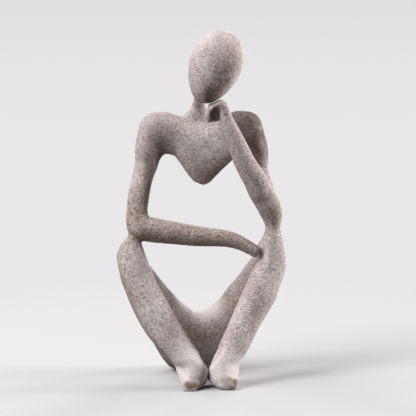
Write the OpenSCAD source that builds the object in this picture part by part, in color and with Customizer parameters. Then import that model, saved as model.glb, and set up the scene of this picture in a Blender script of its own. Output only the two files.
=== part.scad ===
// Seated thinking figure, an abstract ornament in sand-finished cast resin.
// The figure faces -Y. Its right side is at -X. The seat and the feet rest on Z = 0.

/* [Overall] */
// Width across the outer faces of the knees
knee_width = 126; // [116:1:136]
// Depth from the tips of the toes to the back of the seat
figure_depth = 102; // [94:1:112]

/* [Legs] */
// Height of the tops of the knees above the rest surface
knee_height = 104; // [98:1:108]
// Greatest width of a shin, seen from the front
shin_width = 25.6; // [22:0.5:28]
// Width of a foot across the instep
foot_width = 19.6; // [18:0.4:19.6]
// Height of the lap above the rest surface
lap_height = 46.5; // [42:0.5:50]
// Width of a thigh where it meets the hips
thigh_width = 36; // [32:0.5:38]

/* [Torso] */
// Width across the outer faces of the shoulders
shoulder_width = 96; // [90:1:102]
// Height of the tops of the shoulders above the elbow joints
shoulder_rise = 81; // [77:1:85]
// Height of the chest from the shoulder line down to its pointed tip
chest_height = 55; // [50:1:60]
// Drop from the shoulder line to the centre of the armpit curve
armpit_drop = 35.5; // [33:0.5:38]
// Radius of the armpit curve
armpit_radius = 6; // [5:0.5:7]
// Thickness of the chest, front to back
chest_thickness = 25; // [20:0.5:28]
// Width of the neck at its slimmest
neck_width = 8.8; // [8:0.2:11]

/* [Head] */
// Height of the chin above the shoulder line
chin_rise = 6.6; // [5:0.2:8]
// Length of the head from chin to crown
head_length = 57; // [54:1:60]
// Width of the head
head_width = 38.8; // [36:0.4:42]
// Sideways lean of the head, in degrees
head_lean = 24; // [20:1:28]
// Tilt of the chin towards the front, in degrees
head_tilt = 15; // [10:1:20]

/* [Arms] */
// Height of the elbow joints above the tops of the knees
elbow_rise = 14; // [12:0.5:16]
// Width of an upper arm
upper_arm_width = 15.6; // [14:0.2:17]
// Greatest width of a forearm
forearm_width = 17.6; // [15:0.2:19]
// Width of the resting hand
hand_width = 10.2; // [9:0.2:11]
// Width of the raised wrist
wrist_width = 8.8; // [8.4:0.2:9.6]
// Width of the slim neck between the right elbow and its knee
right_waist_width = 9.2; // [8.4:0.2:10]
// Width of the slim neck between the left elbow and its knee
left_waist_width = 9.6; // [9:0.2:11]

/* [Dowels] */
// Diameter of the pins inside the thick limbs
dowel_diameter = 4; // [3:0.5:5]
// Length of the pins inside the thick limbs
dowel_length = 16; // [12:1:18]
// Diameter of the pins inside the slim necks
slim_dowel_diameter = 2.5; // [2:0.5:3]
// Length of the pins inside the slim necks
slim_dowel_length = 11; // [8:1:12]
// Gap between a pin and its hole
dowel_clearance = 0.1; // [0.05:0.05:0.2]

/* [Surface] */
// Number of sides of every limb section
ring_sides = 24; // [16:2:26]
// Distance between neighbouring limb sections
ring_spacing = 4.8; // [4.4:0.2:7]

/* [Hidden] */
sand = [0.69, 0.65, 0.63];
steel = [0.75, 0.76, 0.78];
$fn = 48;
overrun = 60;
touch_gap = 0.25;

half_knees = knee_width / 2;
half_depth = figure_depth / 2;
half_shoulders = shoulder_width / 2;

// A station is [centre, half width, half depth, taper, width axis, depth axis] in one flat list.
function station(c, w, d, u, v, taper = 0) = concat(c, [w, d, taper], u, v);
function centre(s) = [s[0], s[1], s[2]];
function unit(a) = a / norm(a);
function mix(a, b, t) = a + (b - a) * t;
function mirrored(s) =
  [-s[0], s[1], s[2], s[3], s[4], s[5], -s[6], s[7], s[8], -s[9], s[10], s[11]];
function reversed(list) = [for (i = [len(list) - 1:-1:0]) list[i]];
function other_side(ch) = reversed([for (s = ch) mirrored(s)]);
function grown(ch, extra) =
  [for (s = ch) [for (i = [0:len(s) - 1]) i == 3 || i == 4 ? s[i] + extra : s[i]]];

// Smooth path through the stations, each stretch a cubic that is paced by the distances.
function gap(ch, i) = norm(centre(ch[i + 1]) - centre(ch[i]));
function slope(ch, i) =
  i == 0 ? (ch[1] - ch[0]) / gap(ch, 0)
  : i == len(ch) - 1 ? (ch[i] - ch[i - 1]) / gap(ch, i - 1)
  : (ch[i + 1] - ch[i - 1]) / (gap(ch, i) + gap(ch, i - 1));
function between(ch, i, t) =
  let (h = gap(ch, i), t2 = t * t, t3 = t2 * t)
  (2 * t3 - 3 * t2 + 1) * ch[i] + (t3 - 2 * t2 + t) * h * slope(ch, i)
  + (3 * t2 - 2 * t3) * ch[i + 1] + (t3 - t2) * h * slope(ch, i + 1);
function rim(s) = centre(s) + width_axis(s) * s[3];
function steps(ch, i) = max(1, round(max(gap(ch, i), norm(rim(ch[i + 1]) - rim(ch[i]))) / ring_spacing));
function walk(ch, from, to) = concat(
  [for (i = [from:to - 1]) for (k = [0:steps(ch, i) - 1]) between(ch, i, k / steps(ch, i))],
  [ch[to]]);

// One section: an oval that the taper makes thicker at the end of its width axis.
function width_axis(s) = unit([s[6], s[7], s[8]]);
function depth_axis(s) =
  let (u = width_axis(s), raw = [s[9], s[10], s[11]]) unit(raw - u * (raw * u));
function travel(s) = cross(depth_axis(s), width_axis(s));
function ring(s) =
  let (u = width_axis(s), v = depth_axis(s))
  [for (k = [0:ring_sides - 1]) let (a = 360 * k / ring_sides)
    centre(s) + u * s[3] * cos(a) - v * s[4] * sin(a) * (1 + s[5] * cos(a))];

// Round closing of a limb: the last section shrinks along a quarter circle.
cap_angles = [28, 54, 74];
function cap(s, dir, bulge_share) = [for (a = cap_angles)
  [for (p = ring(s)) centre(s) + (p - centre(s)) * cos(a) + dir * bulge_share * s[4] * sin(a)]];

// Skin through rings of equal count, closed by a flat face at either end.
module skin(rings) {
  n = len(rings[0]);
  m = len(rings);
  polyhedron(
    [for (r = rings) each r],
    concat(
      [[for (i = [0:n - 1]) i]],
      [for (j = [0:m - 2]) for (i = [0:n - 1]) let (k = (i + 1) % n)
        each [[j * n + i, (j + 1) * n + i, (j + 1) * n + k], [j * n + i, (j + 1) * n + k, j * n + k]]],
      [[for (i = [n - 1:-1:0]) (m - 1) * n + i]]));
}
module limb(ch, from, to, first_cap = [], last_cap = []) {
  skin(concat(reversed(first_cap), [for (s = walk(ch, from, to)) ring(s)], last_cap));
}

// Legs. Rows run from the toes to the middle of the hips. Foot rows are [across, fore and aft, up,
// width, depth] as shares of the foot width, half the depth, the knee height and half the foot
// width twice. The other rows take half the knee width across and half a girth for the last two.
foot_shares = [
  [0.650, -0.910, 0.027, 0.76, 0.47],
  [0.615, -0.855, 0.037, 0.92, 0.76],
  [0.560, -0.775, 0.061, 0.98, 1.02],
  [0.515, -0.698, 0.121, 1.02, 1.12]];
shin_shares = [
  [0.208, -0.645, 0.178, 0.82, 0.85],
  [0.268, -0.605, 0.228, 0.79, 0.80],
  [0.390, -0.530, 0.327, 0.88, 0.81],
  [0.490, -0.450, 0.416, 0.97, 0.85],
  [0.590, -0.372, 0.525, 1.00, 0.88],
  [0.676, -0.294, 0.629, 0.98, 0.88],
  [0.754, -0.216, 0.734, 0.93, 0.86]];
knee_shares = [
  [0.807, -0.200, 0.800, 0.87, 0.74],
  [0.838, -0.163, 0.865, 0.80, 0.70],
  [0.846, -0.010, 0.900, 0.75, 0.70],
  [0.828, 0.149, 0.867, 0.76, 0.70],
  [0.784, 0.251, 0.793, 0.82, 0.75]];
thigh_shares = [
  [0.722, 0.310, 0.716, 0.69, 0.60],
  [0.635, 0.370, 0.615, 0.79, 0.70],
  [0.532, 0.435, 0.514, 0.89, 0.81],
  [0.405, 0.510, 0.405, 0.98, 0.94]];
hip_shares = [
  [0.215, 0.585, 0.244, 0.50, 0.41],
  [0.000, 0.615, 0.204, 0.52, 0.42]];
right_bow_share = 0.06;
left_bow_share = -0.03;
right_toe_back_share = 0.02;
right_toe_slim_share = 0.035;
foot_width_axes = [[0.95, 0.3, 0], [0.97, 0.2, 0], [1, 0.1, 0], [1, 0, 0.05]];
foot_up_axes = [[0, -0.68, 0.73], [0, -0.68, 0.73], [0, -0.7, 0.72], [0, -0.8, 0.6]];
knee_up_axes = [
  [0, -0.97, 0.25], [-0.2, -0.8, 0.6], [-0.3, 0, 0.95], [-0.25, 0.8, 0.6], [-0.1, 0.95, 0.25]];
hip_width_axes = [[0.36, 0, 0.93], [0, 0, 1]];

function leg_point(row, bow = 0) =
  [-row[0] * half_knees - bow * shin_width * sin(180 * row[2]), row[1] * half_depth, row[2] * knee_height];
function leg_station(row, girth, u, v, bow = 0) =
  station(leg_point(row, bow), row[3] * girth / 2, row[4] * girth / 2, u, v);
function leg(bow, toe_back = 0, toe_slim = 0) = concat(
  [for (i = [0:3]) let (r = foot_shares[i])
    station([-r[0] * foot_width, (r[1] + toe_back * (3 - i)) * half_depth, r[2] * knee_height],
      r[3] * (1 - toe_slim * (3 - i)) * foot_width / 2, r[4] * foot_width / 2,
      foot_width_axes[i], foot_up_axes[i])],
  [leg_station(shin_shares[0], shin_width, [0.95, 0, 0.3], [0, -0.88, 0.47], bow)],
  [for (i = [1:6]) leg_station(shin_shares[i], shin_width, [0.85, 0, 0.52], [0, -0.95, 0.3], bow)],
  [for (i = [0:4]) leg_station(knee_shares[i], shin_width, [0.9, 0, 0.43], knee_up_axes[i], bow)],
  [for (r = thigh_shares) leg_station(r, thigh_width, [0.83, 0, 0.55], [-0.1, 0.97, 0.2])],
  [for (i = [0:1]) leg_station(hip_shares[i], 2 * lap_height, hip_width_axes[i], [0, 1, 0])]);

right_leg = leg(right_bow_share, right_toe_back_share, right_toe_slim_share);
left_leg = other_side(leg(left_bow_share));
legs = concat(right_leg, [for (i = [1:len(left_leg) - 1]) left_leg[i]]);
legs_end = len(legs) - 1;
ankle_at = 5;
knee_at = 15;
hip_at = 19;

// Arms and chest are one path: resting hand, right elbow, shoulders and chest, left elbow, raised hand.
elbow_shares = [0.775, -0.2];
torso_share = 0.1;
elbow_x = elbow_shares[0] * half_knees;
elbow_y = elbow_shares[1] * half_depth;
elbow_height = knee_height + elbow_rise;
shoulder_height = elbow_height + shoulder_rise;
torso_y = torso_share * half_depth;
right_elbow = [-elbow_x, elbow_y, elbow_height];
left_elbow = [elbow_x, elbow_y, elbow_height];

// Section of the path between an outer and an inner edge point that lie side by side in the view.
function edge_station(outer, inner, y, depth, taper = 0) =
  let (c = (outer + inner) / 2, w = (outer - inner) / 2)
  station([c[0], y, c[1]], norm(w), depth, unit([w[0], 0, w[1]]), [0, 1, 0], taper);

// Rows of the shoulder curve: outer point as shares of the reach and the drop, inner point as
// shares of the armpit radius, then fore and aft as a share of half the depth, and thickness.
shoulder_shares = [
  [1.04, 0.01, 1.10, 0.02, 0.04, 0.68],
  [0.96, 0.55, 0.77, 0.45, 0.07, 0.80],
  [0.73, 0.93, 0.36, 0.68, 0.10, 0.90],
  [0.00, 1.00, 0.00, 0.73, 0.11, 0.94]];
shoulder_taper_share = 0.12;
function shoulder(x, z, flare_share = 0) = [for (r = shoulder_shares) edge_station(
  [-x - (r[0] + (1 - r[1]) * flare_share) * (half_shoulders - x), z + r[1] * (shoulder_height - z)],
  [-x - r[2] * armpit_radius, z + r[3] * armpit_radius],
  r[4] * half_depth, r[5] * chest_thickness / 2, shoulder_taper_share)];
right_armpit_share = 0.51;
left_armpit_share = 0.535;
left_armpit_low_share = 0.1;
left_flare_share = 0.06;
armpit_height = shoulder_height - armpit_drop;
right_shoulder = shoulder(right_armpit_share * half_shoulders, armpit_height);
left_shoulder = other_side(shoulder(
  left_armpit_share * half_shoulders, armpit_height - left_armpit_low_share * armpit_drop, left_flare_share));

// Rows of the chest: place across as a share of half the shoulder width, top and bottom edges as
// shares of the chest height below the shoulder line, and thickness.
chest_shares = [
  [-0.400, 0.036, 0.595, 0.95],
  [-0.300, 0.066, 0.715, 0.98],
  [-0.200, 0.072, 0.850, 1.00],
  [-0.100, 0.070, 0.950, 1.00],
  [0.045, 0.068, 1.000, 1.00],
  [0.140, 0.070, 0.965, 1.00],
  [0.230, 0.070, 0.885, 1.00],
  [0.330, 0.064, 0.795, 0.98],
  [0.430, 0.040, 0.715, 0.96]];
chest_taper_share = 0.22;
chest = [for (r = chest_shares) edge_station(
  [r[0] * half_shoulders, shoulder_height - r[1] * chest_height],
  [r[0] * half_shoulders, shoulder_height - r[2] * chest_height],
  torso_y, r[3] * chest_thickness / 2, chest_taper_share)];

// Stations along a straight line from a to b that the path travels; facing is the depth axis.
// Rows are [along, outward, to the facing side, width, depth], the last four as shares of the girth.
function along(a, b, rows, girth, facing) =
  let (t = unit(b - a), u = unit(cross(t, facing)), v = cross(u, t))
  [for (r = rows)
    station(mix(a, b, r[0]) + (u * r[1] + v * r[2]) * girth, r[3] * girth / 2, r[4] * girth / 2, u, v)];

back = [0, 1, 0];
front = [0, -1, 0];
upper_arm_shares = [
  [0.20, 0.11, 0, 1.00, 1.02],
  [0.38, 0.15, 0, 1.00, 0.99],
  [0.56, 0.14, 0, 1.00, 0.97],
  [0.74, 0.10, 0, 1.00, 0.98],
  [0.90, 0.02, 0, 1.08, 1.02]];
right_upper = along(right_elbow, centre(right_shoulder[0]), upper_arm_shares, upper_arm_width, back);

// Resting forearm, from the hand on the left knee to the right elbow.
hand_place_shares = [0.626, -0.248, 0.930];
hand_place = [
  hand_place_shares[0] * half_knees, hand_place_shares[1] * half_depth, hand_place_shares[2] * knee_height];
resting_hand_shares = [
  [0.015, 0.03, 0, 0.92, 0.90],
  [0.132, -0.29, 0, 1.04, 1.00]];
forearm_shares = [
  [0.255, -0.23, 0, 0.69, 0.64],
  [0.506, -0.06, 0, 0.86, 0.80],
  [0.650, 0.00, 0, 0.93, 0.86],
  [0.780, 0.06, 0, 1.00, 0.92],
  [0.880, 0.09, 0, 1.05, 0.96]];
right_lower = concat(
  along(hand_place, right_elbow, resting_hand_shares, hand_width, back),
  along(hand_place, right_elbow, forearm_shares, forearm_width, back));
corner_shares = [0.1, -0.02, -0.1];
corner_girth_shares = [0.56, 0.5];
right_corner = [station(right_elbow + corner_shares * forearm_width,
  corner_girth_shares[0] * forearm_width, corner_girth_shares[1] * forearm_width, [-0.75, 0, -0.66], back)];

// Left upper arm, down to the back of the left elbow.
left_upper_shares = [
  [0.14, -0.01, 0.02, 1.00, 0.96],
  [0.32, 0.02, 0.05, 1.00, 0.92],
  [0.50, 0.04, 0.08, 1.00, 0.90],
  [0.68, 0.04, 0.08, 0.97, 0.88],
  [0.84, 0.02, 0.04, 0.90, 0.84],
  [1.00, 0.00, 0.00, 0.75, 0.70]];
left_upper_end_share = 0.4;
left_upper = along(
  centre(left_shoulder[len(left_shoulder) - 1]), left_elbow + [0, 0, left_upper_end_share * forearm_width],
  left_upper_shares, upper_arm_width, back);

// Left forearm, from the elbow up to the wrist.
wrist_shares = [0.2325, -0.415, 0.015];
wrist = [
  wrist_shares[0] * half_knees, wrist_shares[1] * half_depth,
  shoulder_height - wrist_shares[2] * chest_height];
raised_forearm_shares = [
  [0.206, 0.20, 0.10, 1.01, 0.90],
  [0.283, 0.15, 0.19, 1.04, 0.88],
  [0.398, 0.12, 0.25, 1.00, 0.86],
  [0.512, 0.03, 0.26, 0.93, 0.82],
  [0.620, -0.02, 0.25, 0.86, 0.77],
  [0.731, -0.02, 0.21, 0.79, 0.72],
  [0.842, -0.03, 0.16, 0.71, 0.66],
  [0.925, -0.03, 0.09, 0.61, 0.60]];
left_lower = concat(
  along(left_elbow, wrist, raised_forearm_shares, forearm_width, front),
  along(left_elbow, wrist, [[1, 0, 0, 1, 1.05]], wrist_width, front));
// Raised hand: rows are [across, fore, up] from the wrist, then half width and half depth, all in
// wrist widths. The fingers hook over to the chin and the palm closes the hollow behind them.
hand_shares = [
  [-0.08, 0.00, 0.51, 0.43, 0.52],
  [-0.21, 0.02, 0.85, 0.42, 0.55],
  [-0.47, 0.05, 1.06, 0.40, 0.60],
  [-0.76, 0.12, 0.97, 0.28, 0.62],
  [-1.04, 0.18, 0.80, 0.23, 0.62],
  [-1.30, 0.22, 0.57, 0.25, 0.60],
  [-1.41, 0.25, 0.24, 0.27, 0.58],
  [-1.38, 0.27, -0.10, 0.28, 0.54],
  [-1.24, 0.32, -0.38, 0.25, 0.46]];
hand_out_axes = [
  [0.95, 0, 0.31], [0.78, 0, 0.63], [0.48, 0, 0.88], [0.17, 0, 0.98],
  [-0.45, 0, 0.89], [-0.88, 0, 0.47], [-1, 0, 0.05], [-0.95, 0, -0.32], [-0.82, 0, -0.57]];
raised_hand = [for (i = [0:len(hand_shares) - 1]) let (r = hand_shares[i])
  station(wrist + [r[0], r[1], r[2]] * wrist_width, r[3] * wrist_width, r[4] * wrist_width,
    hand_out_axes[i], front)];
palm_shares = [
  [-0.83, 0.46, 1.02, 0.50, 0.24],
  [-0.84, 0.54, 0.22, 0.58, 0.20],
  [-0.80, 0.60, -0.36, 0.56, 0.18]];
finger_bulge_share = 0.4;
palm = [for (r = palm_shares)
  station(wrist + [r[0], r[1], r[2]] * wrist_width, r[3] * wrist_width, r[4] * wrist_width, [1, 0, 0], back)];

// Slim necks that join each elbow to the knee below it. Rows are [across, fore and aft, up from
// the knee top, half width, half depth, lean], as shares of half the knee width, half the depth,
// the elbow rise and the width of the neck. The lean is the rise of the width axis.
right_waist_shares = [
  [0.767, -0.200, 0.80, 0.72, 0.80, -0.30],
  [0.795, -0.200, 0.55, 0.56, 0.66, -0.35],
  [0.815, -0.190, 0.32, 0.50, 0.60, -0.35],
  [0.832, -0.175, 0.10, 0.58, 0.70, -0.30],
  [0.858, -0.150, -0.14, 0.74, 0.84, -0.15],
  [0.868, -0.125, -0.40, 0.87, 0.96, 0.00],
  [0.857, -0.110, -0.72, 0.95, 1.00, 0.15],
  [0.835, -0.110, -1.35, 0.88, 0.80, 0.30]];
left_waist_shares = [
  [0.790, -0.110, -1.30, 0.93, 0.80, -0.40],
  [0.808, -0.110, -0.60, 1.08, 0.98, -0.30],
  [0.818, -0.140, -0.21, 0.98, 0.92, -0.15],
  [0.825, -0.175, 0.21, 0.75, 0.78, 0.00],
  [0.824, -0.195, 0.61, 0.58, 0.64, 0.05],
  [0.823, -0.205, 0.91, 0.63, 0.67, 0.10],
  [0.817, -0.217, 1.18, 0.76, 0.73, 0.15],
  [0.799, -0.240, 1.49, 0.87, 0.79, 0.25],
  [0.765, -0.268, 1.87, 0.92, 0.83, 0.34]];
function waist(rows, side, width, facing) = [for (r = rows)
  station([side * r[0] * half_knees, r[1] * half_depth, knee_height + r[2] * elbow_rise],
    r[3] * width, r[4] * width, [1, 0, r[5]], facing)];
right_waist = waist(right_waist_shares, -1, right_waist_width, back);
left_arm = concat(waist(left_waist_shares, 1, left_waist_width, front), left_lower, raised_hand);
right_waist_at = 2;
left_waist_at = 4;
wrist_at = len(left_waist_shares) + len(left_lower) - 1;
left_arm_end = len(left_arm) - 1;
finger_cap = cap(left_arm[left_arm_end], travel(left_arm[left_arm_end]), finger_bulge_share);

arms = concat(right_lower, right_corner, right_upper, right_shoulder, chest, left_shoulder, left_upper);
right_elbow_at = len(right_lower) + 1;
right_seam_at = right_elbow_at + len(right_upper);
left_seam_at = right_seam_at + len(right_shoulder) + len(chest) + len(left_shoulder) - 1;
arms_end = len(arms) - 1;

// Neck, from inside the chest to inside the head. Rows are [fore and aft, up, half width, half
// depth] in neck widths, measured from the middle of the shoulder line.
neck_shares = [
  [0.10, -1.70, 1.20, 0.90],
  [0.10, -0.85, 1.62, 0.88],
  [0.03, -0.38, 1.42, 0.80],
  [-0.08, 0.00, 0.92, 0.70],
  [-0.22, 0.30, 0.67, 0.62],
  [-0.42, 0.63, 0.53, 0.57],
  [-0.75, 1.10, 0.50, 0.54],
  [-1.25, 1.60, 0.45, 0.44]];
neck_across_share = -0.0375;
neck_base = [neck_across_share * half_shoulders, torso_y, shoulder_height];
neck = [for (r = neck_shares)
  station(neck_base + [0, r[0], r[1]] * neck_width, r[2] * neck_width, r[3] * neck_width, [-1, 0, 0], back)];

// Head: an egg turned about its long axis, wide at the crown end and narrow at the chin.
// The profile rows are [height, radius], as shares of the head length and half its width.
head_shares = [
  [0.000, 0.00], [0.008, 0.12], [0.030, 0.27], [0.064, 0.41], [0.11, 0.53], [0.157, 0.63], [0.22, 0.735],
  [0.30, 0.84], [0.38, 0.92], [0.47, 0.98], [0.56, 1.00], [0.65, 0.985], [0.73, 0.94], [0.80, 0.865],
  [0.87, 0.74], [0.93, 0.575], [0.97, 0.39], [0.993, 0.19], [1.000, 0.00]];
head_place_shares = [0.1365, -0.16, 0.477];
head_centre = [
  head_place_shares[0] * half_knees, head_place_shares[1] * half_depth,
  shoulder_height + chin_rise + head_place_shares[2] * head_length];
module egg(extra = 0) {
  translate(head_centre)
    rotate([-head_tilt, head_lean, 0])
      translate([0, 0, -head_length / 2])
        rotate_extrude()
          polygon([for (r = head_shares)
            [r[1] * (head_width / 2 + extra), r[0] * head_length + (r[0] - 0.5) * 2 * extra]]);
}

// Dowel pins bridge the joints, half in either section. Rows are [point, direction].
function seam(ch, i) = [centre(ch[i]), travel(ch[i])];
limb_seams = [
  seam(arms, right_elbow_at), seam(arms, right_seam_at), seam(arms, left_seam_at), seam(arms, arms_end - 2),
  seam(legs, ankle_at), seam(legs, knee_at), seam(legs, hip_at),
  seam(legs, legs_end - hip_at), seam(legs, legs_end - knee_at), seam(legs, legs_end - ankle_at)];
neck_pin_share = 0.4;
slim_seams = [
  seam(left_arm, wrist_at), seam(right_waist, right_waist_at), seam(left_arm, left_waist_at),
  [mix(centre(neck[6]), centre(neck[7]), neck_pin_share), unit(centre(neck[7]) - centre(neck[6]))]];
module rod(place, diameter, length) {
  d = place[1];
  translate(place[0]) rotate([0, acos(d[2]), atan2(d[1], d[0])])
    cylinder(h = length, d = diameter, center = true, $fn = 24);
}
module limb_hole(i) {
  rod(limb_seams[i], dowel_diameter + 2 * dowel_clearance, dowel_length + 2 * dowel_clearance);
}
module slim_hole(i) {
  rod(slim_seams[i], slim_dowel_diameter + 2 * dowel_clearance, slim_dowel_length + 2 * dowel_clearance);
}

module above_floor() {
  translate([-overrun * 2, -overrun * 2, 0]) cube([overrun * 4, overrun * 4, overrun * 5]);
}

module head() {
  color(sand) difference() {
    egg();
    slim_hole(3);
  }
}
module torso() {
  color(sand) difference() {
    union() {
      limb(arms, right_seam_at, left_seam_at);
      limb(neck, 0, len(neck) - 1);
    }
    egg();
    limb_hole(1);
    limb_hole(2);
    slim_hole(3);
  }
}
module right_upper_arm() {
  color(sand) difference() {
    limb(arms, right_elbow_at, right_seam_at);
    limb_hole(0);
    limb_hole(1);
  }
}
module right_forearm() {
  color(sand) difference() {
    union() {
      limb(arms, 0, right_elbow_at, cap(arms[0], -travel(arms[0]), 0.85));
      limb(right_waist, 0, right_waist_at);
    }
    limb(grown(legs, touch_gap), legs_end - knee_at, legs_end - ankle_at);
    limb(grown(left_arm, touch_gap), 0, left_waist_at);
    limb(right_waist, right_waist_at, len(right_waist) - 1);
    limb_hole(0);
    slim_hole(1);
  }
}
module left_upper_arm() {
  color(sand) difference() {
    limb(arms, left_seam_at, arms_end);
    limb(left_arm, left_waist_at, wrist_at);
    limb_hole(2);
    limb_hole(3);
  }
}
module left_forearm() {
  color(sand) difference() {
    limb(left_arm, left_waist_at, wrist_at);
    limb_hole(3);
    slim_hole(0);
    slim_hole(2);
  }
}
module left_hand() {
  color(sand) difference() {
    union() {
      limb(left_arm, wrist_at, left_arm_end, [], finger_cap);
      limb(palm, 0, len(palm) - 1, [], cap(palm[2], [0, 0, -1], 1));
    }
    egg(touch_gap);
    slim_hole(0);
  }
}
module hips() {
  color(sand) difference() {
    intersection() {
      limb(legs, hip_at, legs_end - hip_at);
      above_floor();
    }
    limb_hole(6);
    limb_hole(7);
  }
}
module thigh(from, to, holes) {
  color(sand) difference() {
    limb(legs, from, to);
    for (i = holes) limb_hole(i);
  }
}
module shin(from, to, holes, neck_path, neck_from, neck_to, neck_hole) {
  color(sand) difference() {
    union() {
      limb(legs, from, to);
      limb(neck_path, neck_from, neck_to);
    }
    for (i = holes) limb_hole(i);
    slim_hole(neck_hole);
  }
}
module foot(from, to, toe_cap, heel_cap, hole) {
  color(sand) difference() {
    intersection() {
      limb(legs, from, to, toe_cap, heel_cap);
      above_floor();
    }
    limb_hole(hole);
  }
}
toe_bulge_share = 0.65;
module right_thigh() { thigh(knee_at, hip_at, [5, 6]); }
module left_thigh() { thigh(legs_end - hip_at, legs_end - knee_at, [7, 8]); }
module right_shin() {
  shin(ankle_at, knee_at, [4, 5], right_waist, right_waist_at, len(right_waist) - 1, 1);
}
module left_shin() {
  shin(legs_end - knee_at, legs_end - ankle_at, [8, 9], left_arm, 0, left_waist_at, 2);
}
module right_foot() { foot(0, ankle_at, cap(legs[0], -travel(legs[0]), toe_bulge_share), [], 4); }
module left_foot() {
  foot(legs_end - ankle_at, legs_end, [], cap(legs[legs_end], travel(legs[legs_end]), toe_bulge_share), 9);
}
module limb_dowels() {
  color(steel) for (s = limb_seams) rod(s, dowel_diameter, dowel_length);
}
module slim_dowels() {
  color(steel) for (s = slim_seams) rod(s, slim_dowel_diameter, slim_dowel_length);
}

head();
torso();
right_upper_arm();
right_forearm();
left_upper_arm();
left_forearm();
left_hand();
hips();
right_thigh();
left_thigh();
right_shin();
left_shin();
right_foot();
left_foot();
limb_dowels();
slim_dowels();
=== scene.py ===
import math
import bmesh
import bpy
import numpy as np
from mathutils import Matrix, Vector
from mathutils.bvhtree import BVHTree
from mathutils.kdtree import KDTree


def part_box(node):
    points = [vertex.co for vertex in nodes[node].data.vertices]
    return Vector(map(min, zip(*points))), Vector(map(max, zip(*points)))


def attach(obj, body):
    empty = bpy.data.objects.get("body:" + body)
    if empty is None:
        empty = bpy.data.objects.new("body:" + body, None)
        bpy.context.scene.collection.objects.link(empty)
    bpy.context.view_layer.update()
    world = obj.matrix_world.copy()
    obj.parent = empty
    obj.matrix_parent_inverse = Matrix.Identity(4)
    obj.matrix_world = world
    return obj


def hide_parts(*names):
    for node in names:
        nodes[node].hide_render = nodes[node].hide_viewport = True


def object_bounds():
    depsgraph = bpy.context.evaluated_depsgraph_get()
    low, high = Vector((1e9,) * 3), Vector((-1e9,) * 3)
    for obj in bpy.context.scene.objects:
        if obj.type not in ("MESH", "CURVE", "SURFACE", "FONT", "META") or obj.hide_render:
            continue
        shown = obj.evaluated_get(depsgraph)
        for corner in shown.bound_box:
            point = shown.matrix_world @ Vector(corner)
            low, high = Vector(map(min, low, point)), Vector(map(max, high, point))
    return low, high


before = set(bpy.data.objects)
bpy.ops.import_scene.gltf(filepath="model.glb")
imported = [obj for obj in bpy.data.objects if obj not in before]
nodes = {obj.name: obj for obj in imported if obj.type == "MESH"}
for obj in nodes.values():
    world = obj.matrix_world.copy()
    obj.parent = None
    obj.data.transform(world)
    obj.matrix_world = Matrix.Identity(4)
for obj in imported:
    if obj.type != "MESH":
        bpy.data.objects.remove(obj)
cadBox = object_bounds()
castNames = sorted(n for n in nodes if not n.endswith("_dowels"))
scene = bpy.context.scene
scene.view_settings.view_transform = "Standard"
perMetre = 1000     # millimetres, in which some of the dictionaries give places and sizes


def newObject(name, data):
    obj = bpy.data.objects.new(name, data)
    scene.collection.objects.link(obj)
    return obj


def newMesh(name, bm):
    mesh = bpy.data.meshes.new(name)
    bm.to_mesh(mesh)
    bm.free()
    return mesh


def looseGroups(bm):
    seen, groups = set(), []
    for start in bm.verts:
        if start in seen:
            continue
        seen.add(start)
        group = [start]
        for vert in group:      # the group grows while it is walked
            for edge in vert.link_edges:
                other = edge.other_vert(vert)
                if other not in seen:
                    seen.add(other)
                    group.append(other)
        groups.append(group)
    return groups


# the cast sections are dressed flush, so they share one smooth surface
castSkin = {
    "voxel": 0.0009,        # size of the remesh cells
    "smoothRounds": 60,
    "smoothSteps": (0.55, -0.57),
    "softRounds": 500,      # where two limbs flow into each other
    "softSteps": (0.60, -0.61),
    "floorBand": 0.0004,    # what lies lower than this stays flat on the floor
    "seamReach": 0.042,     # how far from a pin its joint is cut
    "slimReach": 0.012,
    "pinRoom": 0.0001,
    "pinSides": 24,
    "boxRoom": 0.00002,     # kept from the outer box of the CAD
    "touchReach": 0.00012,  # faces this near and turned to each other are bonded
    "touchFacing": -0.7,
    "partReach": 0.009,     # how far the skin may lie from its own section
    "joinRounds": 4,
    "clearShare": 0.97,     # of the faces on one side of a joint that have to agree
    "sameVertex": 0.000002,
    "pinMerge": 0.0000001,
    "cutMerge": 0.000001,
    "bendLimit": 0.6,       # a face turned further than this from the skin stays flat
}
# middles and reaches in millimetres of the places that are worked softer
softPlaces = {
    "rightKnee": ((-53, -12, 97), 20),
    "leftKnee": ((54, -12, 98), 20),
    "neckBase": ((-2, 5, 197), 22),
}
# dressed fills in millimetres: the hull of a part's own points inside a box, or of loose points
fills = {
    "rightKnee": {"side": "right", "part": "right_shin",
                  "low": (-64, -30, 79), "high": (-38, -7, 109)},
    "leftKnee": {"side": "left", "part": "left_shin",
                 "low": (46, -30, 83), "high": (64, -9, 112.9)},
    "rightSole": {"side": "right", "points": [
        (-19.2, -43, 0), (-18.2, -48.6, 0), (-12.5, -50.2, 0), (-6, -41.5, 0), (-5, -27, 0),
        (-15, -27, 0), (-0.8, -38, 4.8), (-0.5, -27, 4.8), (-0.5, -37, 11), (-0.5, -27, 11),
        (-9.5, -48, 5), (-18.3, -48.5, 3), (-16, -49.5, 6), (-15, -40, 14), (-20.3, -46, 2),
        (-23, -38, 10.5), (-25, -33, 18)]},
    "leftSole": {"side": "left", "points": [
        (5, -27, 0), (5.5, -40, 0), (8.5, -46.5, 0), (12, -49, 0), (16.5, -48.5, 0),
        (18, -30, 0), (0.5, -27, 4.5), (0.8, -38.5, 4.5), (0.5, -36, 10), (0.5, -27, 10),
        (12, -49.5, 6), (20, -47.5, 3), (20.8, -46, 6), (21.2, -43, 9), (22.3, -37, 15),
        (24.4, -31, 25), (14, -44, 18), (12, -40, 26)]},
}
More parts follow.
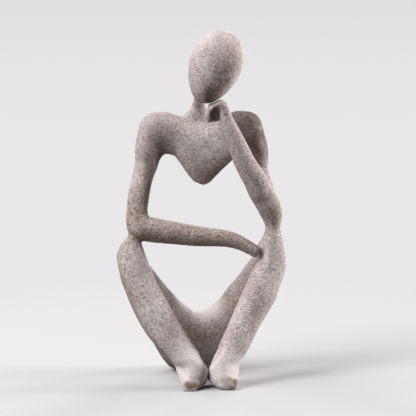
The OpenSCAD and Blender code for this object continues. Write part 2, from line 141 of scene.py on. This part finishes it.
# pulls in millimetres, like a grab brush, on one skin or on both
pulls = {
    "leftAnkle": {"sides": ["left"], "middle": (1.5, -34, 20.5), "reach": 8.5,
                  "move": (4.2, 0, 0)},
    "rightAnkle": {"sides": ["right"], "middle": (-2.5, -34, 19.5), "reach": 8,
                   "move": (-2.4, 0, 0)},
    "leftAnkleTop": {"sides": ["left"], "middle": (5, -34, 26), "reach": 11,
                     "move": (3.8, 0, 0)},
    "leftShin": {"sides": ["left"], "middle": (42, -28, 43), "reach": 27, "move": (-3.8, 0, 0)},
    "leftThigh": {"sides": ["left"], "middle": (28, 22, 67), "reach": 26,
                  "move": (1.4, 0, -0.2)},
    "seat": {"sides": ["left", "right"], "middle": (-34, 32, 19), "reach": 29,
             "move": (2.6, 0, 0)},
    "lap": {"sides": ["left", "right"], "middle": (8, 28, 53), "reach": 24,
            "move": (3.0, 0, -1.2)},
}
# one skin a side keeps apart what only touches: hand and chin, hand and knee, the feet
skinSides = {
    "right": {"own": ["head", "torso", "right_upper_arm", "right_forearm",
                      "right_thigh", "right_shin", "right_foot"],
              "beside": ["left_upper_arm", "left_forearm", "hips", "left_thigh"]},
    "left": {"own": ["left_upper_arm", "left_forearm", "left_hand", "hips",
                     "left_thigh", "left_shin", "left_foot"],
             "beside": ["torso", "right_thigh"]},
}


def pinsOf(name, reach):
    bm = bmesh.new()
    bm.from_mesh(nodes[name].data)
    bmesh.ops.remove_doubles(bm, verts=bm.verts, dist=castSkin["pinMerge"])
    pins = []
    for group in looseGroups(bm):
        points = np.array([v.co for v in group])
        middle = points.mean(0)
        axis = np.linalg.svd(points - middle)[2][0]
        along = (points - middle) @ axis
        spread = np.linalg.norm((points - middle) - np.outer(along, axis), axis=1)
        pins.append({"middle": Vector(middle), "axis": Vector(axis), "reach": reach,
                     "length": float(np.ptp(along)), "radius": float(spread.max())})
    bm.free()
    return pins


def relax(points, ends, weights, steps, rounds):
    inside = np.nonzero(weights > 0)[0]
    place = np.full(len(points), -1)
    place[inside] = np.arange(len(inside))
    ends = ends[place[ends[:, 0]] >= 0]
    start, total = place[ends[:, 0]], len(inside)
    count = np.bincount(start, minlength=total)[:, None]
    share = weights[inside][:, None]
    for step in steps * rounds:
        mean = np.stack([np.bincount(start, weights=points[ends[:, 1], k], minlength=total)
                         for k in range(3)], axis=1) / count
        points[inside] += step * share * (mean - points[inside])


def reachFrom(points, middle, reach):
    return np.linalg.norm(points * perMetre - middle, axis=1) / reach


def smoothPoints(side, bm):
    bm.verts.index_update()
    points = np.array([v.co for v in bm.verts])
    for pull in pulls.values():
        if side in pull["sides"]:
            away = reachFrom(points, pull["middle"], pull["reach"])
            weights = np.clip(1.0 - away ** 2, 0.0, 1.0) ** 2
            points += weights[:, None] * np.array(pull["move"]) / perMetre
    flat = points[:, 2] < castSkin["floorBand"]
    ends = np.array([[v.index for v in e.verts] for e in bm.edges])
    ends = np.concatenate([ends, ends[:, ::-1]])
    relax(points, ends, np.ones(len(points)), castSkin["smoothSteps"], castSkin["smoothRounds"])
    for middle, reach in softPlaces.values():
        # full strength in the inner half of the reach, none at its edge
        weights = np.clip(2.0 - 2.0 * reachFrom(points, middle, reach), 0.0, 1.0)
        relax(points, ends, weights, castSkin["softSteps"], castSkin["softRounds"])
    low = [c + castSkin["boxRoom"] for c in cadBox[0]]
    high = [c - castSkin["boxRoom"] for c in cadBox[1]]
    points = np.clip(points, low, high)
    points[:, 2] = np.where(flat, 0.0, points[:, 2])
    for vert, point in zip(bm.verts, points):
        vert.co = point


def addFill(bm, fill):
    points = [Vector(p) / perMetre for p in fill.get("points", [])]
    if "part" in fill:
        low, high = fill["low"], fill["high"]
        points = [v.co for v in nodes[fill["part"]].data.vertices
                  if all(low[i] < v.co[i] * perMetre < high[i] for i in range(3))]
    part = bmesh.new()
    for point in points:
        part.verts.new(point)
    made = bmesh.ops.convex_hull(part, input=part.verts)
    loose = {v for v in made["geom_interior"] + made["geom_unused"]
             if isinstance(v, bmesh.types.BMVert)}
    bmesh.ops.delete(part, geom=list(loose), context="VERTS")
    bmesh.ops.recalc_face_normals(part, faces=part.faces)
    mesh = newMesh("fill", part)
    bm.from_mesh(mesh)
    bpy.data.meshes.remove(mesh)


def voxelSkin(side, names):
    bm = bmesh.new()
    for name in names:
        bm.from_mesh(nodes[name].data)
    for fill in fills.values():
        if fill["side"] == side:
            addFill(bm, fill)
    obj = newObject("rawSkin", newMesh("rawSkin", bm))
    voxels = obj.modifiers.new("voxels", "REMESH")
    voxels.mode = "VOXEL"
    voxels.voxel_size = castSkin["voxel"]
    graph = bpy.context.evaluated_depsgraph_get()
    bm = bmesh.new()
    bm.from_mesh(obj.evaluated_get(graph).to_mesh())
    bpy.data.objects.remove(obj)
    # the largest shell is the outside, the others are gaps round the pins
    inner = sorted(looseGroups(bm), key=len)[:-1]
    bmesh.ops.delete(bm, geom=[v for group in inner for v in group], context="VERTS")
    return bm


def makeSkin(side, names):
    bm = voxelSkin(side, names)
    smoothPoints(side, bm)
    for pin in castPins:
        near = [f for f in bm.faces
                if (f.calc_center_median() - pin["middle"]).length < pin["reach"]]
        rim = list(dict.fromkeys(e for f in near for e in f.edges))
        rim += list(dict.fromkeys(v for f in near for v in f.verts))
        bmesh.ops.bisect_plane(bm, geom=near + rim, dist=castSkin["cutMerge"],
                               plane_co=pin["middle"], plane_no=pin["axis"])
    bm.normal_update()
    bm.verts.index_update()
    bm.faces.index_update()
    bm.faces.ensure_lookup_table()
    return bm


def wholeTree(name):
    bm = bmesh.new()
    bm.from_mesh(nodes[name].data)
    tree = BVHTree.FromBMesh(bm)
    bm.free()
    return tree


def outerTree(name, others):
    # only the faces that no other section touches
    bm = bmesh.new()
    bm.from_mesh(nodes[name].data)
    hidden = []
    for face in bm.faces:
        middle = face.calc_center_median()
        for other in others:
            hit = other.find_nearest(middle, castSkin["touchReach"])
            if hit[0] is not None and hit[1].dot(face.normal) < castSkin["touchFacing"]:
                hidden.append(face)
                break
    bmesh.ops.delete(bm, geom=hidden, context="FACES")
    tree = BVHTree.FromBMesh(bm)
    bm.free()
    return tree


def nearestPart(middle, names, boxes):
    best = (1.0, "")
    for name in names:
        lo, hi = boxes[name]
        if all(lo[i] < middle[i] < hi[i] for i in range(3)):
            hit = outerTrees[name].find_nearest(middle, castSkin["partReach"])
            if hit[0] is not None:
                best = min(best, (hit[3], name))
    return best[1]


def joinLoneFaces(bm, labels):
    for i in range(castSkin["joinRounds"]):
        changes = {}
        for face in bm.faces:
            around = [labels[f.index] for e in face.edges for f in e.link_faces if f is not face]
            for name in set(around):
                if name != labels[face.index] and around.count(name) * 2 > len(around):
                    changes[face.index] = name
        for index, name in changes.items():
            labels[index] = name


def splitJoint(pin, middles, labels):
    # a joint that lies in one plane is split by that plane alone
    sides = ([], [])
    for index, middle in enumerate(middles):
        away = middle - pin["middle"]
        if away.length < pin["reach"] / 2:
            sides[away.dot(pin["axis"]) > 0].append(index)
    if not all(sides):
        return
    found = [[labels[i] for i in side] for side in sides]
    names = [max(sorted(set(side)), key=side.count) for side in found]
    clear = all(side.count(name) > castSkin["clearShare"] * len(side)
                for side, name in zip(found, names))
    if clear and names[0] != names[1]:
        for side, name in zip(sides, names):
            for index in side:
                labels[index] = name


def labelFaces(bm, names):
    room = Vector([castSkin["partReach"]] * 3)
    boxes = {}
    for name in names:
        lo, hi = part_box(name)
        boxes[name] = (Vector(lo) - room, Vector(hi) + room)
    middles = [f.calc_center_median() for f in bm.faces]
    labels = [nearestPart(middle, names, boxes) for middle in middles]
    joinLoneFaces(bm, labels)
    for pin in castPins:
        splitJoint(pin, middles, labels)
    return labels


def cutOut(name, bm, labels):
    part = bm.copy()
    part.faces.ensure_lookup_table()
    away = [f for f in part.faces if labels[f.index] != name]
    bmesh.ops.delete(part, geom=away, context="FACES")
    rims = [e for e in part.edges if e.is_boundary]
    caps = bmesh.ops.holes_fill(part, edges=rims, sides=0)["faces"]
    bmesh.ops.triangulate(part, faces=caps)
    bmesh.ops.recalc_face_normals(part, faces=part.faces)
    return newObject(name + "Cast", newMesh(name + "Cast", part))


def addDrill(piece, pin):
    room = castSkin["pinRoom"]
    drill = bmesh.new()
    bmesh.ops.create_cone(drill, cap_ends=True, segments=castSkin["pinSides"],
                          radius1=pin["radius"] + room, radius2=pin["radius"] + room,
                          depth=pin["length"] + 2 * room)
    turn = pin["axis"].to_track_quat("Z", "Y").to_matrix()
    bmesh.ops.rotate(drill, verts=drill.verts, matrix=turn)
    bmesh.ops.translate(drill, verts=drill.verts, vec=pin["middle"])
    cutter = newObject("drill", newMesh("drill", drill))
    cut = piece.modifiers.new("pinHole", "BOOLEAN")
    cut.operation = "DIFFERENCE"
    cut.solver = "EXACT"
    cut.object = cutter
    return cutter


def drillHoles(piece, name):
    lo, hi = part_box(name)
    cutters = []
    for pin in castPins:
        half = pin["length"] / 2
        if all(lo[i] - half < pin["middle"][i] < hi[i] + half for i in range(3)):
            cutters.append(addDrill(piece, pin))
    graph = bpy.context.evaluated_depsgraph_get()
    done = bpy.data.meshes.new_from_object(piece.evaluated_get(graph))
    piece.modifiers.clear()
    piece.data = done
    done.name = name + "Cast"
    for cutter in cutters:
        bpy.data.objects.remove(cutter)


def keepSkinNormals(mesh, tree, table):
    # the outer faces keep the normals of the whole skin, so no joint shows
    normals = []
    for poly in mesh.polygons:
        poly.use_smooth = True
        for index in poly.vertices:
            found = tree.find(mesh.vertices[index].co)
            skin = table[found[1]] if found[2] < castSkin["sameVertex"] else poly.normal
            bent = skin.dot(poly.normal) <= castSkin["bendLimit"]
            normals.append(poly.normal if bent else skin)
    mesh.normals_split_custom_set(normals)


castPins = pinsOf("limb_dowels", castSkin["seamReach"])
castPins += pinsOf("slim_dowels", castSkin["slimReach"])
wholeTrees = {n: wholeTree(n) for n in castNames}
outerTrees = {n: outerTree(n, [wholeTrees[o] for o in castNames if o != n]) for n in castNames}
castPieces = {}
for side, share in skinSides.items():
    sideNames = share["own"] + share["beside"]
    skin = makeSkin(side, sideNames)
    print(side, "skin made:", len(skin.verts), "vertices")
    normalTree = KDTree(len(skin.verts))
    for vert in skin.verts:
        normalTree.insert(vert.co, vert.index)
    normalTree.balance()
    skinNormals = [v.normal.copy() for v in skin.verts]
    labels = labelFaces(skin, sideNames)
    for name in share["own"]:
        piece = cutOut(name, skin, labels)
        drillHoles(piece, name)
        keepSkinNormals(piece.data, normalTree, skinNormals)
        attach(piece, "root")
        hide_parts(name)
        castPieces[name] = piece
    skin.free()
    print(side, "pieces made:", {n: len(castPieces[n].data.polygons) for n in share["own"]})


def nodeTree(name):
    mat = bpy.data.materials.new(name)
    mat.use_nodes = True
    mat.node_tree.nodes.clear()
    return mat, mat.node_tree


def addNode(tree, kind, **values):
    node = tree.nodes.new(kind)
    for key, value in values.items():
        setattr(node, key, value)
    return node


def ramp(tree, source, low, high, first=0.0, last=1.0):
    node = addNode(tree, "ShaderNodeMapRange", interpolation_type="SMOOTHSTEP")
    for key, value in (("From Min", low), ("From Max", high), ("To Min", first), ("To Max", last)):
        node.inputs[key].default_value = value
    tree.links.new(source, node.inputs["Value"])
    return node.outputs["Result"]


def blend(tree, share, one, other):
    node = addNode(tree, "ShaderNodeMix", data_type="RGBA")
    tree.links.new(share, node.inputs["Factor"])
    for socket, value in ((node.inputs[6], one), (node.inputs[7], other)):
        if isinstance(value, tuple):
            socket.default_value = value
        else:
            tree.links.new(value, socket)
    return node.outputs[2]


sandLook = {
    "base": (0.505, 0.432, 0.424, 1),
    "pale": (0.590, 0.518, 0.510, 1),
    # colour of the painted warm shade
    "paintedWarmShade": (0.400, 0.312, 0.250, 1),
    # colour of painted shade
    "paintedShadeMauve": (0.340, 0.280, 0.284, 1),
    "rust": (0.330, 0.215, 0.180, 1),
    # colour of the darkest painted shade
    "paintedShadeUmber": (0.225, 0.175, 0.155, 1),
    # colour of painted light
    "paintedLightPale": (0.760, 0.690, 0.682, 1),
    "worn": (0.250, 0.180, 0.130, 1),
    "roughness": 0.9,
    "specular": 0.15,
    # noises as scale, detail and roughness, and the levels between which each pattern comes in
    "patchNoise": (45.0, 3, 0.5),
    "patchLevels": (0.45, 0.70),
    "brokenNoise": (135.0, 4, 0.5),
    "brokenLevels": (0.30, 0.62),
    "leastBroken": 0.35,
    # the noise that breaks up the painted light on upward faces
    "paintedLightTopNoise": (90.0, 3, 0.5),
    "paintedLightTopLevels": (0.30, 0.70),
    "leastPaintedLightTop": 0.8,
    "mottleNoise": (520.0, 3, 0.6),
    "mottleLevels": (0.32, 0.68),
    "rustNoise": (832.0, 2, 0.6),
    "rustLevels": (0.52, 0.66),
    "rustShare": 0.30,
    "dotScale": 760.0,
    "dotLevels": (0.60, 0.85),
    "dotEdge": (0.60, 0.25),
    "fineScale": 1700.0,
    "lightLevels": (0.60, 0.95),
    "darkLevels": (0.70, 0.92),
    # by what share each pattern lightens or darkens the ground
    "mottleChange": (-0.20, 0.17),
    "lightChange": 0.32,
    "darkChange": -0.36,
    "dotChange": -0.50,
    "plainChange": 0.92,
    "paintedWarmShadeChange": 0.5,       # more where warm shade is painted
    "paintedLightTopCalm": 0.8,        # less where light is painted on upward faces
    "leastTone": 0.15,
    "paintedShadingAndWearEdge": (1.15, 0.35),
    "bumpNoise": (1500.0, 3, 0.6),
    "bumpDots": 0.6,
    "bumpStrength": 0.6,
    "bumpDepth": 0.00022,
}
# painted shade and painted light on the sand finish, and wear on the toes: middle and half sizes
# in millimetres, then strength
# painted warm shade: a darker, warmer tan where shade falls at the elbows, on the forearm, the
# right knee and shin, the lap and the chest tip
paintedWarmShadePlaces = {
    "rightElbow": ((-50, -10, 122), (20, 20, 24), 0.9),
    "forearm": ((-4, -14, 110), (54, 20, 13), 0.7),
    "rightKnee": ((-62, -8, 84), (10, 30, 26), 0.6),
    "rightShin": ((-54, -20, 62), (9, 20, 16), 0.55),
    "lapSide": ((26, 20, 52), (14, 24, 15), 0.7),
    "lapFront": ((2, 8, 32), (18, 20, 12), 0.7),
    "leftElbow": ((56, -14, 128), (10, 16, 30), 0.35),
    "chestTip": ((8, -4, 158), (12, 14, 13), 0.5),
}
# painted shade: mauve where the surfaces turn from the light, in the right armpit and on the right
# shoulder, beside the chin and in bands down the shins
paintedShadeMauvePlaces = {
    "rightArmpit": ((-32, -4, 164), (10, 16, 22), 0.8),
    "rightShoulder": ((-30, -6, 183), (18, 16, 12), 0.6),
    "chinSide": ((2, -22, 236), (16, 16, 18), 0.4),
    "leftShinHigh": ((40, -26, 67), (4.5, 12, 10), 0.7),
    "leftShinMid": ((36, -28, 56), (4.5, 12, 12), 0.55),
    "leftShinLow": ((32, -30, 45), (4.5, 12, 12), 0.55),
    "rightShinBand": ((-26, -34, 42), (6, 14, 14), 0.5),
}
# painted shade and painted shadow: the head's dark core under the chin and cheek, the forearm's
# shadow on the left shoulder, the head's shadow on the fist and its shaded hollow, the shaded
# inside of the right arm and the contact shadow between the feet
paintedShadeUmberPlaces = {
    "chin": ((5, -19, 216), (10, 14, 10), 1.3),
    "cheek": ((12, -23, 227), (9, 14, 11), 1.1),
    "temple": ((17, -20, 238), (8, 12, 10), 0.6),
    "leftShoulder": ((41, 2, 182), (16, 20, 30), 1.25),
    "fist": ((8, -16, 200), (5, 6, 6), 0.8),
    "fistTop": ((6, -19, 209), (7, 8, 5), 1.2),
    "rightArmInner": ((-40, -6, 150), (5, 14, 28), 0.7),
    "rightSole": ((-1, -40, 3), (7, 12, 8), 1.2),
    "leftSole": ((2, -38, 2), (5, 9, 6), 1.2),
}
# painted light: lighter where the light falls on the chest, the jaw, the shins, the right knee and
# the neck
paintedLightPlaces = {
    "chest": ((2, -6, 175), (32, 14, 20), 0.95),
    "jaw": ((22, -9, 226), (7, 14, 14), 0.8),
    "chestEdge": ((18, -8, 165), (8, 10, 12), 0.6),
    "leftShinTop": ((50, -18, 84), (18, 20, 26), 0.5),
    "leftShin": ((26, -32, 50), (8, 20, 26), 0.5),
    "rightShin": ((-38, -24, 66), (14, 20, 32), 0.45),
    "rightKnee": ((-52, -14, 90), (13, 16, 18), 0.6),
    "leftNeck": ((53, -16, 108), (8, 8, 8), 0.6),
}
# painted light: pale and even on upward faces, where the light falls from above
paintedLightTopPlaces = {
    "rightInstep": ((-14, -42, 9), (22, 24, 30), 1.25),
    "leftInstep": ((14, -42, 7), (20, 24, 28), 1.0),
    "lap": ((2, 22, 50), (24, 26, 13), 1.15),
    "crown": ((0, -4, 256), (26, 26, 16), 0.4),
    "templeLeft": ((31, -4, 238), (9, 16, 24), 0.5),
}
wornToes = {
    "rightToe": ((-14.5, -49, 4.8), (8, 6, 4), 1.2),
    "leftToe": ((14.0, -51, 7.0), (10, 6, 4), 0.8),
    "leftToeSpot": ((18.8, -50, 5.5), (3, 6, 3.6), 1.2),
}


def sandResin():
    look = sandLook
    mat, tree = nodeTree("sandResin")
    link = tree.links.new
    place = addNode(tree, "ShaderNodeTexCoord").outputs["Object"]
    shader = addNode(tree, "ShaderNodeBsdfPrincipled")
    shader.inputs["Roughness"].default_value = look["roughness"]
    shader.inputs["Specular IOR Level"].default_value = look["specular"]
    out = addNode(tree, "ShaderNodeOutputMaterial")
    link(shader.outputs[0], out.inputs["Surface"])

    def noise(scale, detail, rough):
        node = addNode(tree, "ShaderNodeTexNoise")
        node.inputs["Scale"].default_value = scale
        node.inputs["Detail"].default_value = detail
        node.inputs["Roughness"].default_value = rough
        link(place, node.inputs["Vector"])
        return node.outputs["Fac"]

    def grains(scale):
        cells = addNode(tree, "ShaderNodeTexVoronoi")
        cells.inputs["Scale"].default_value = scale
        link(place, cells.inputs["Vector"])
        pick = addNode(tree, "ShaderNodeSeparateColor")
        link(cells.outputs["Color"], pick.inputs["Color"])
        return cells.outputs["Distance"], pick.outputs["Red"], pick.outputs["Green"]

    def maths(kind, one, other):
        node = addNode(tree, "ShaderNodeMath", operation=kind)
        for socket, value in zip(node.inputs, (one, other)):
            if isinstance(value, (int, float)):
                socket.default_value = value
            else:
                link(value, socket)
        return node.outputs[0]

    def paintedShadingAndWearSpot(middle, halfSize):
        # 1 in the middle of an ellipsoid, 0 outside it
        away = addNode(tree, "ShaderNodeVectorMath", operation="SUBTRACT")
        link(place, away.inputs[0])
        away.inputs[1].default_value = [c / perMetre for c in middle]
        scaled = addNode(tree, "ShaderNodeVectorMath", operation="DIVIDE")
        link(away.outputs[0], scaled.inputs[0])
        scaled.inputs[1].default_value = [c / perMetre for c in halfSize]
        reach = addNode(tree, "ShaderNodeVectorMath", operation="LENGTH")
        link(scaled.outputs[0], reach.inputs[0])
        return ramp(tree, reach.outputs["Value"], *look["paintedShadingAndWearEdge"])

    # sums the spots of one table, as used for painted shade, painted light and the worn toes
    def paintedShadingAndWear(table, broken):
        total = 0.0
        for middle, halfSize, strength in table.values():
            total = maths("ADD", maths("MULTIPLY", paintedShadingAndWearSpot(middle, halfSize), strength), total)
        return maths("MINIMUM", maths("MULTIPLY", total, broken), 1.0)

    patches = ramp(tree, noise(*look["patchNoise"]), *look["patchLevels"])
    ground = blend(tree, patches, look["base"], look["pale"])
    broken = ramp(tree, noise(*look["brokenNoise"]), *look["brokenLevels"],
                  look["leastBroken"], 1.0)
    # painted warm shade, painted shade and painted light are laid over the ground colour
    paintedWarmShade = paintedShadingAndWear(paintedWarmShadePlaces, broken)
    ground = blend(tree, paintedWarmShade, ground, look["paintedWarmShade"])
    for table, colour in ((paintedShadeMauvePlaces, "paintedShadeMauve"), (paintedShadeUmberPlaces, "paintedShadeUmber"), (paintedLightPlaces, "paintedLightPale")):
        ground = blend(tree, paintedShadingAndWear(table, broken), ground, look[colour])
    # painted light on upward faces, pale and even
    paintedLightTopBreakup = ramp(tree, noise(*look["paintedLightTopNoise"]), *look["paintedLightTopLevels"], look["leastPaintedLightTop"], 1.0)
    paintedLightTop = paintedShadingAndWear(paintedLightTopPlaces, paintedLightTopBreakup)
    ground = blend(tree, paintedLightTop, ground, look["paintedLightPale"])

    # mottling and grains darken or lighten the ground by a share, less where light is painted on
    # upward faces
    dotReach, dotPick = grains(look["dotScale"])[:2]
    dots = maths("MULTIPLY", ramp(tree, dotReach, *look["dotEdge"]),
                 ramp(tree, dotPick, *look["dotLevels"]))
    darkPick, lightPick = grains(look["fineScale"])[1:]
    mottle = noise(*look["mottleNoise"])
    change = maths("ADD", ramp(tree, mottle, *look["mottleLevels"], *look["mottleChange"]),
                   ramp(tree, lightPick, *look["lightLevels"], 0.0, look["lightChange"]))
    change = maths("ADD", change,
                   ramp(tree, darkPick, *look["darkLevels"], 0.0, look["darkChange"]))
    change = maths("ADD", change, maths("MULTIPLY", dots, look["dotChange"]))
    strong = maths("ADD", look["plainChange"], maths("MULTIPLY", paintedWarmShade, look["paintedWarmShadeChange"]))
    calm = maths("SUBTRACT", 1.0, maths("MULTIPLY", paintedLightTop, look["paintedLightTopCalm"]))
    change = maths("MULTIPLY", maths("MULTIPLY", change, strong), calm)
    rusty = ramp(tree, noise(*look["rustNoise"]), *look["rustLevels"])
    rusty = maths("MULTIPLY", maths("MULTIPLY", rusty, calm), look["rustShare"])
    ground = blend(tree, rusty, ground, look["rust"])
    tone = addNode(tree, "ShaderNodeVectorMath", operation="SCALE")
    link(ground, tone.inputs[0])
    link(maths("MAXIMUM", maths("ADD", change, 1.0), look["leastTone"]), tone.inputs["Scale"])
    ground = blend(tree, paintedShadingAndWear(wornToes, broken), tone.outputs[0], look["worn"])
    link(ground, shader.inputs["Base Color"])

    bump = addNode(tree, "ShaderNodeBump")
    bump.inputs["Strength"].default_value = look["bumpStrength"]
    bump.inputs["Distance"].default_value = look["bumpDepth"]
    height = maths("SUBTRACT", noise(*look["bumpNoise"]),
                   maths("MULTIPLY", dots, look["bumpDots"]))
    link(height, bump.inputs["Height"])
    link(bump.outputs["Normal"], shader.inputs["Normal"])
    return mat


steelLook = {
    "dark": (0.48, 0.49, 0.51, 1),
    "light": (0.62, 0.63, 0.65, 1),
    "streakScale": 900.0,
    "streakDetail": 4,
    "roughness": (0.28, 0.45),
}


def groundSteel():
    mat, tree = nodeTree("groundSteel")
    link = tree.links.new
    place = addNode(tree, "ShaderNodeTexCoord").outputs["Object"]
    shader = addNode(tree, "ShaderNodeBsdfPrincipled")
    shader.inputs["Metallic"].default_value = 1.0
    streaks = addNode(tree, "ShaderNodeTexNoise")
    streaks.inputs["Scale"].default_value = steelLook["streakScale"]
    streaks.inputs["Detail"].default_value = steelLook["streakDetail"]
    link(place, streaks.inputs["Vector"])
    tone = blend(tree, streaks.outputs["Fac"], steelLook["dark"], steelLook["light"])
    link(tone, shader.inputs["Base Color"])
    rough = addNode(tree, "ShaderNodeMapRange")
    for key, value in zip(("To Min", "To Max"), steelLook["roughness"]):
        rough.inputs[key].default_value = value
    link(streaks.outputs["Fac"], rough.inputs["Value"])
    link(rough.outputs["Result"], shader.inputs["Roughness"])
    out = addNode(tree, "ShaderNodeOutputMaterial")
    link(shader.outputs[0], out.inputs["Surface"])
    return mat


def dress(obj, material):
    obj.data.materials.clear()
    obj.data.materials.append(material)


sandMaterial = sandResin()
for piece in castPieces.values():
    dress(piece, sandMaterial)
steelMaterial = groundSteel()
for name in ("limb_dowels", "slim_dowels"):
    dress(nodes[name], steelMaterial)
print("materials made")

room = {
    "reach": 14.0,
    "floorColour": (0.530, 0.522, 0.530, 1),
    "bounceColour": (0.050, 0.040, 0.035, 1),   # what the floor throws back on the figure
    "backColour": (0.815, 0.800, 0.812, 1),
    "farColour": (0.750, 0.735, 0.755, 1),
    "fadeStart": 0.24,      # the lit floor fades into an even background from here
    "fadeEnd": 0.50,
    "farStart": 1.2,
    "farEnd": 4.5,
    "fillColour": (1.0, 0.9, 0.84, 1),
    "fillStrength": 0.01,
}


def mixShaders(tree, share, one, other):
    node = addNode(tree, "ShaderNodeMixShader")
    for socket, source in zip(node.inputs, (share, one, other)):
        tree.links.new(source, socket)
    return node.outputs[0]


def colourShader(tree, kind, colour):
    node = addNode(tree, kind)
    if isinstance(colour, tuple):
        node.inputs["Color"].default_value = colour
    else:
        tree.links.new(colour, node.inputs["Color"])
    return node


def floorPiece():
    bm = bmesh.new()
    bmesh.ops.create_grid(bm, x_segments=1, y_segments=1, size=room["reach"])
    floor = newObject("studioFloor", newMesh("studioFloor", bm))
    mat, tree = nodeTree("paleFloor")
    link = tree.links.new
    place = addNode(tree, "ShaderNodeTexCoord").outputs["Object"]
    reach = addNode(tree, "ShaderNodeVectorMath", operation="LENGTH")
    link(place, reach.inputs[0])
    lit = colourShader(tree, "ShaderNodeBsdfDiffuse", room["floorColour"])
    bounce = colourShader(tree, "ShaderNodeBsdfDiffuse", room["bounceColour"])
    far = ramp(tree, reach.outputs["Value"], room["farStart"], room["farEnd"])
    tone = blend(tree, far, room["backColour"], room["farColour"])
    back = colourShader(tree, "ShaderNodeEmission", tone)
    fade = ramp(tree, reach.outputs["Value"], room["fadeStart"], room["fadeEnd"])
    seen = mixShaders(tree, fade, lit.outputs[0], back.outputs[0])
    rays = addNode(tree, "ShaderNodeLightPath").outputs["Is Camera Ray"]
    out = addNode(tree, "ShaderNodeOutputMaterial")
    link(mixShaders(tree, rays, bounce.outputs[0], seen), out.inputs["Surface"])
    floor.data.materials.append(mat)


def studioWorld():
    world = bpy.data.worlds.new("studio")
    scene.world = world
    world.use_nodes = True
    tree = world.node_tree
    tree.nodes.clear()
    rays = addNode(tree, "ShaderNodeLightPath").outputs["Is Camera Ray"]
    fill = colourShader(tree, "ShaderNodeBackground", room["fillColour"])
    fill.inputs["Strength"].default_value = room["fillStrength"]
    back = colourShader(tree, "ShaderNodeBackground", room["farColour"])
    out = addNode(tree, "ShaderNodeOutputWorld")
    both = mixShaders(tree, rays, fill.outputs[0], back.outputs[0])
    tree.links.new(both, out.inputs["Surface"])


floorPiece()
studioWorld()

# soft round lamps: compass direction from the front and height in degrees, distance and width
# in metres, watts
lampAim = (0, 0, 0.12)
lamps = {
    "keyHigh": {"azimuth": -60, "elevation": 60, "distance": 3.0, "width": 1.0, "power": 5},
    "keyMid": {"azimuth": -60, "elevation": 43, "distance": 3.0, "width": 1.5, "power": 61},
    "keyLow": {"azimuth": -60, "elevation": 20, "distance": 3.0, "width": 1.0, "power": 14},
    "frontNear": {"azimuth": -30, "elevation": 10, "distance": 1.0, "width": 0.4, "power": 0.8},
    "leftHigh": {"azimuth": -90, "elevation": 60, "distance": 3.0, "width": 1.5, "power": 24},
    "leftBack": {"azimuth": -120, "elevation": 55, "distance": 3.0, "width": 1.5, "power": 20},
    "rightLow": {"azimuth": 90, "elevation": 5, "distance": 3.0, "width": 1.0, "power": 112,
                 "colour": (1.0, 0.985, 0.95)},
    "rightHigh": {"azimuth": 90, "elevation": 60, "distance": 3.0, "width": 1.0, "power": 17},
    "rightBack": {"azimuth": 120, "elevation": 20, "distance": 3.0, "width": 1.0, "power": 18},
    "backRight": {"azimuth": 150, "elevation": 20, "distance": 3.0, "width": 1.0, "power": 43},
    "backLeft": {"azimuth": -150, "elevation": 20, "distance": 3.0, "width": 1.0, "power": 24},
}


def direction(look):
    a, e = math.radians(look["azimuth"]), math.radians(look["elevation"])
    return Vector((math.sin(a) * math.cos(e), -math.cos(a) * math.cos(e), math.sin(e)))


def faceFigure(obj, away):
    turn = (-away).to_track_quat("-Z", "Y")
    obj.rotation_mode = "QUATERNION"
    obj.rotation_quaternion = turn
    return turn


for name, look in lamps.items():
    data = bpy.data.lights.new(name, "AREA")
    data.shape = "DISK"
    data.size = look["width"]
    data.energy = look["power"]
    data.color = look.get("colour", (1, 1, 1))
    lamp = newObject(name, data)
    away = direction(look)
    faceFigure(lamp, away)
    lamp.location = Vector(lampAim) + away * look["distance"]
    lamp.visible_camera = False

view = {
    "aim": (0.0, 0.0, 0.128),
    "azimuth": -8,
    "elevation": 8,
    "distance": 2.0,
    "lens": 233.9,
    "sensor": 36,
    "nearest": 0.1,
    "farthest": 20,
    "moveRight": 0.00481,
    "moveUp": -0.0002,
}
data = bpy.data.cameras.new("camera")
data.sensor_width = view["sensor"]
data.lens = view["lens"]
data.clip_start, data.clip_end = view["nearest"], view["farthest"]
camera = newObject("camera", data)
away = direction(view)
turn = faceFigure(camera, away)
shift = turn @ Vector((view["moveRight"], view["moveUp"], 0))
camera.location = Vector(view["aim"]) + away * view["distance"] + shift
scene.camera = camera
print("room made")
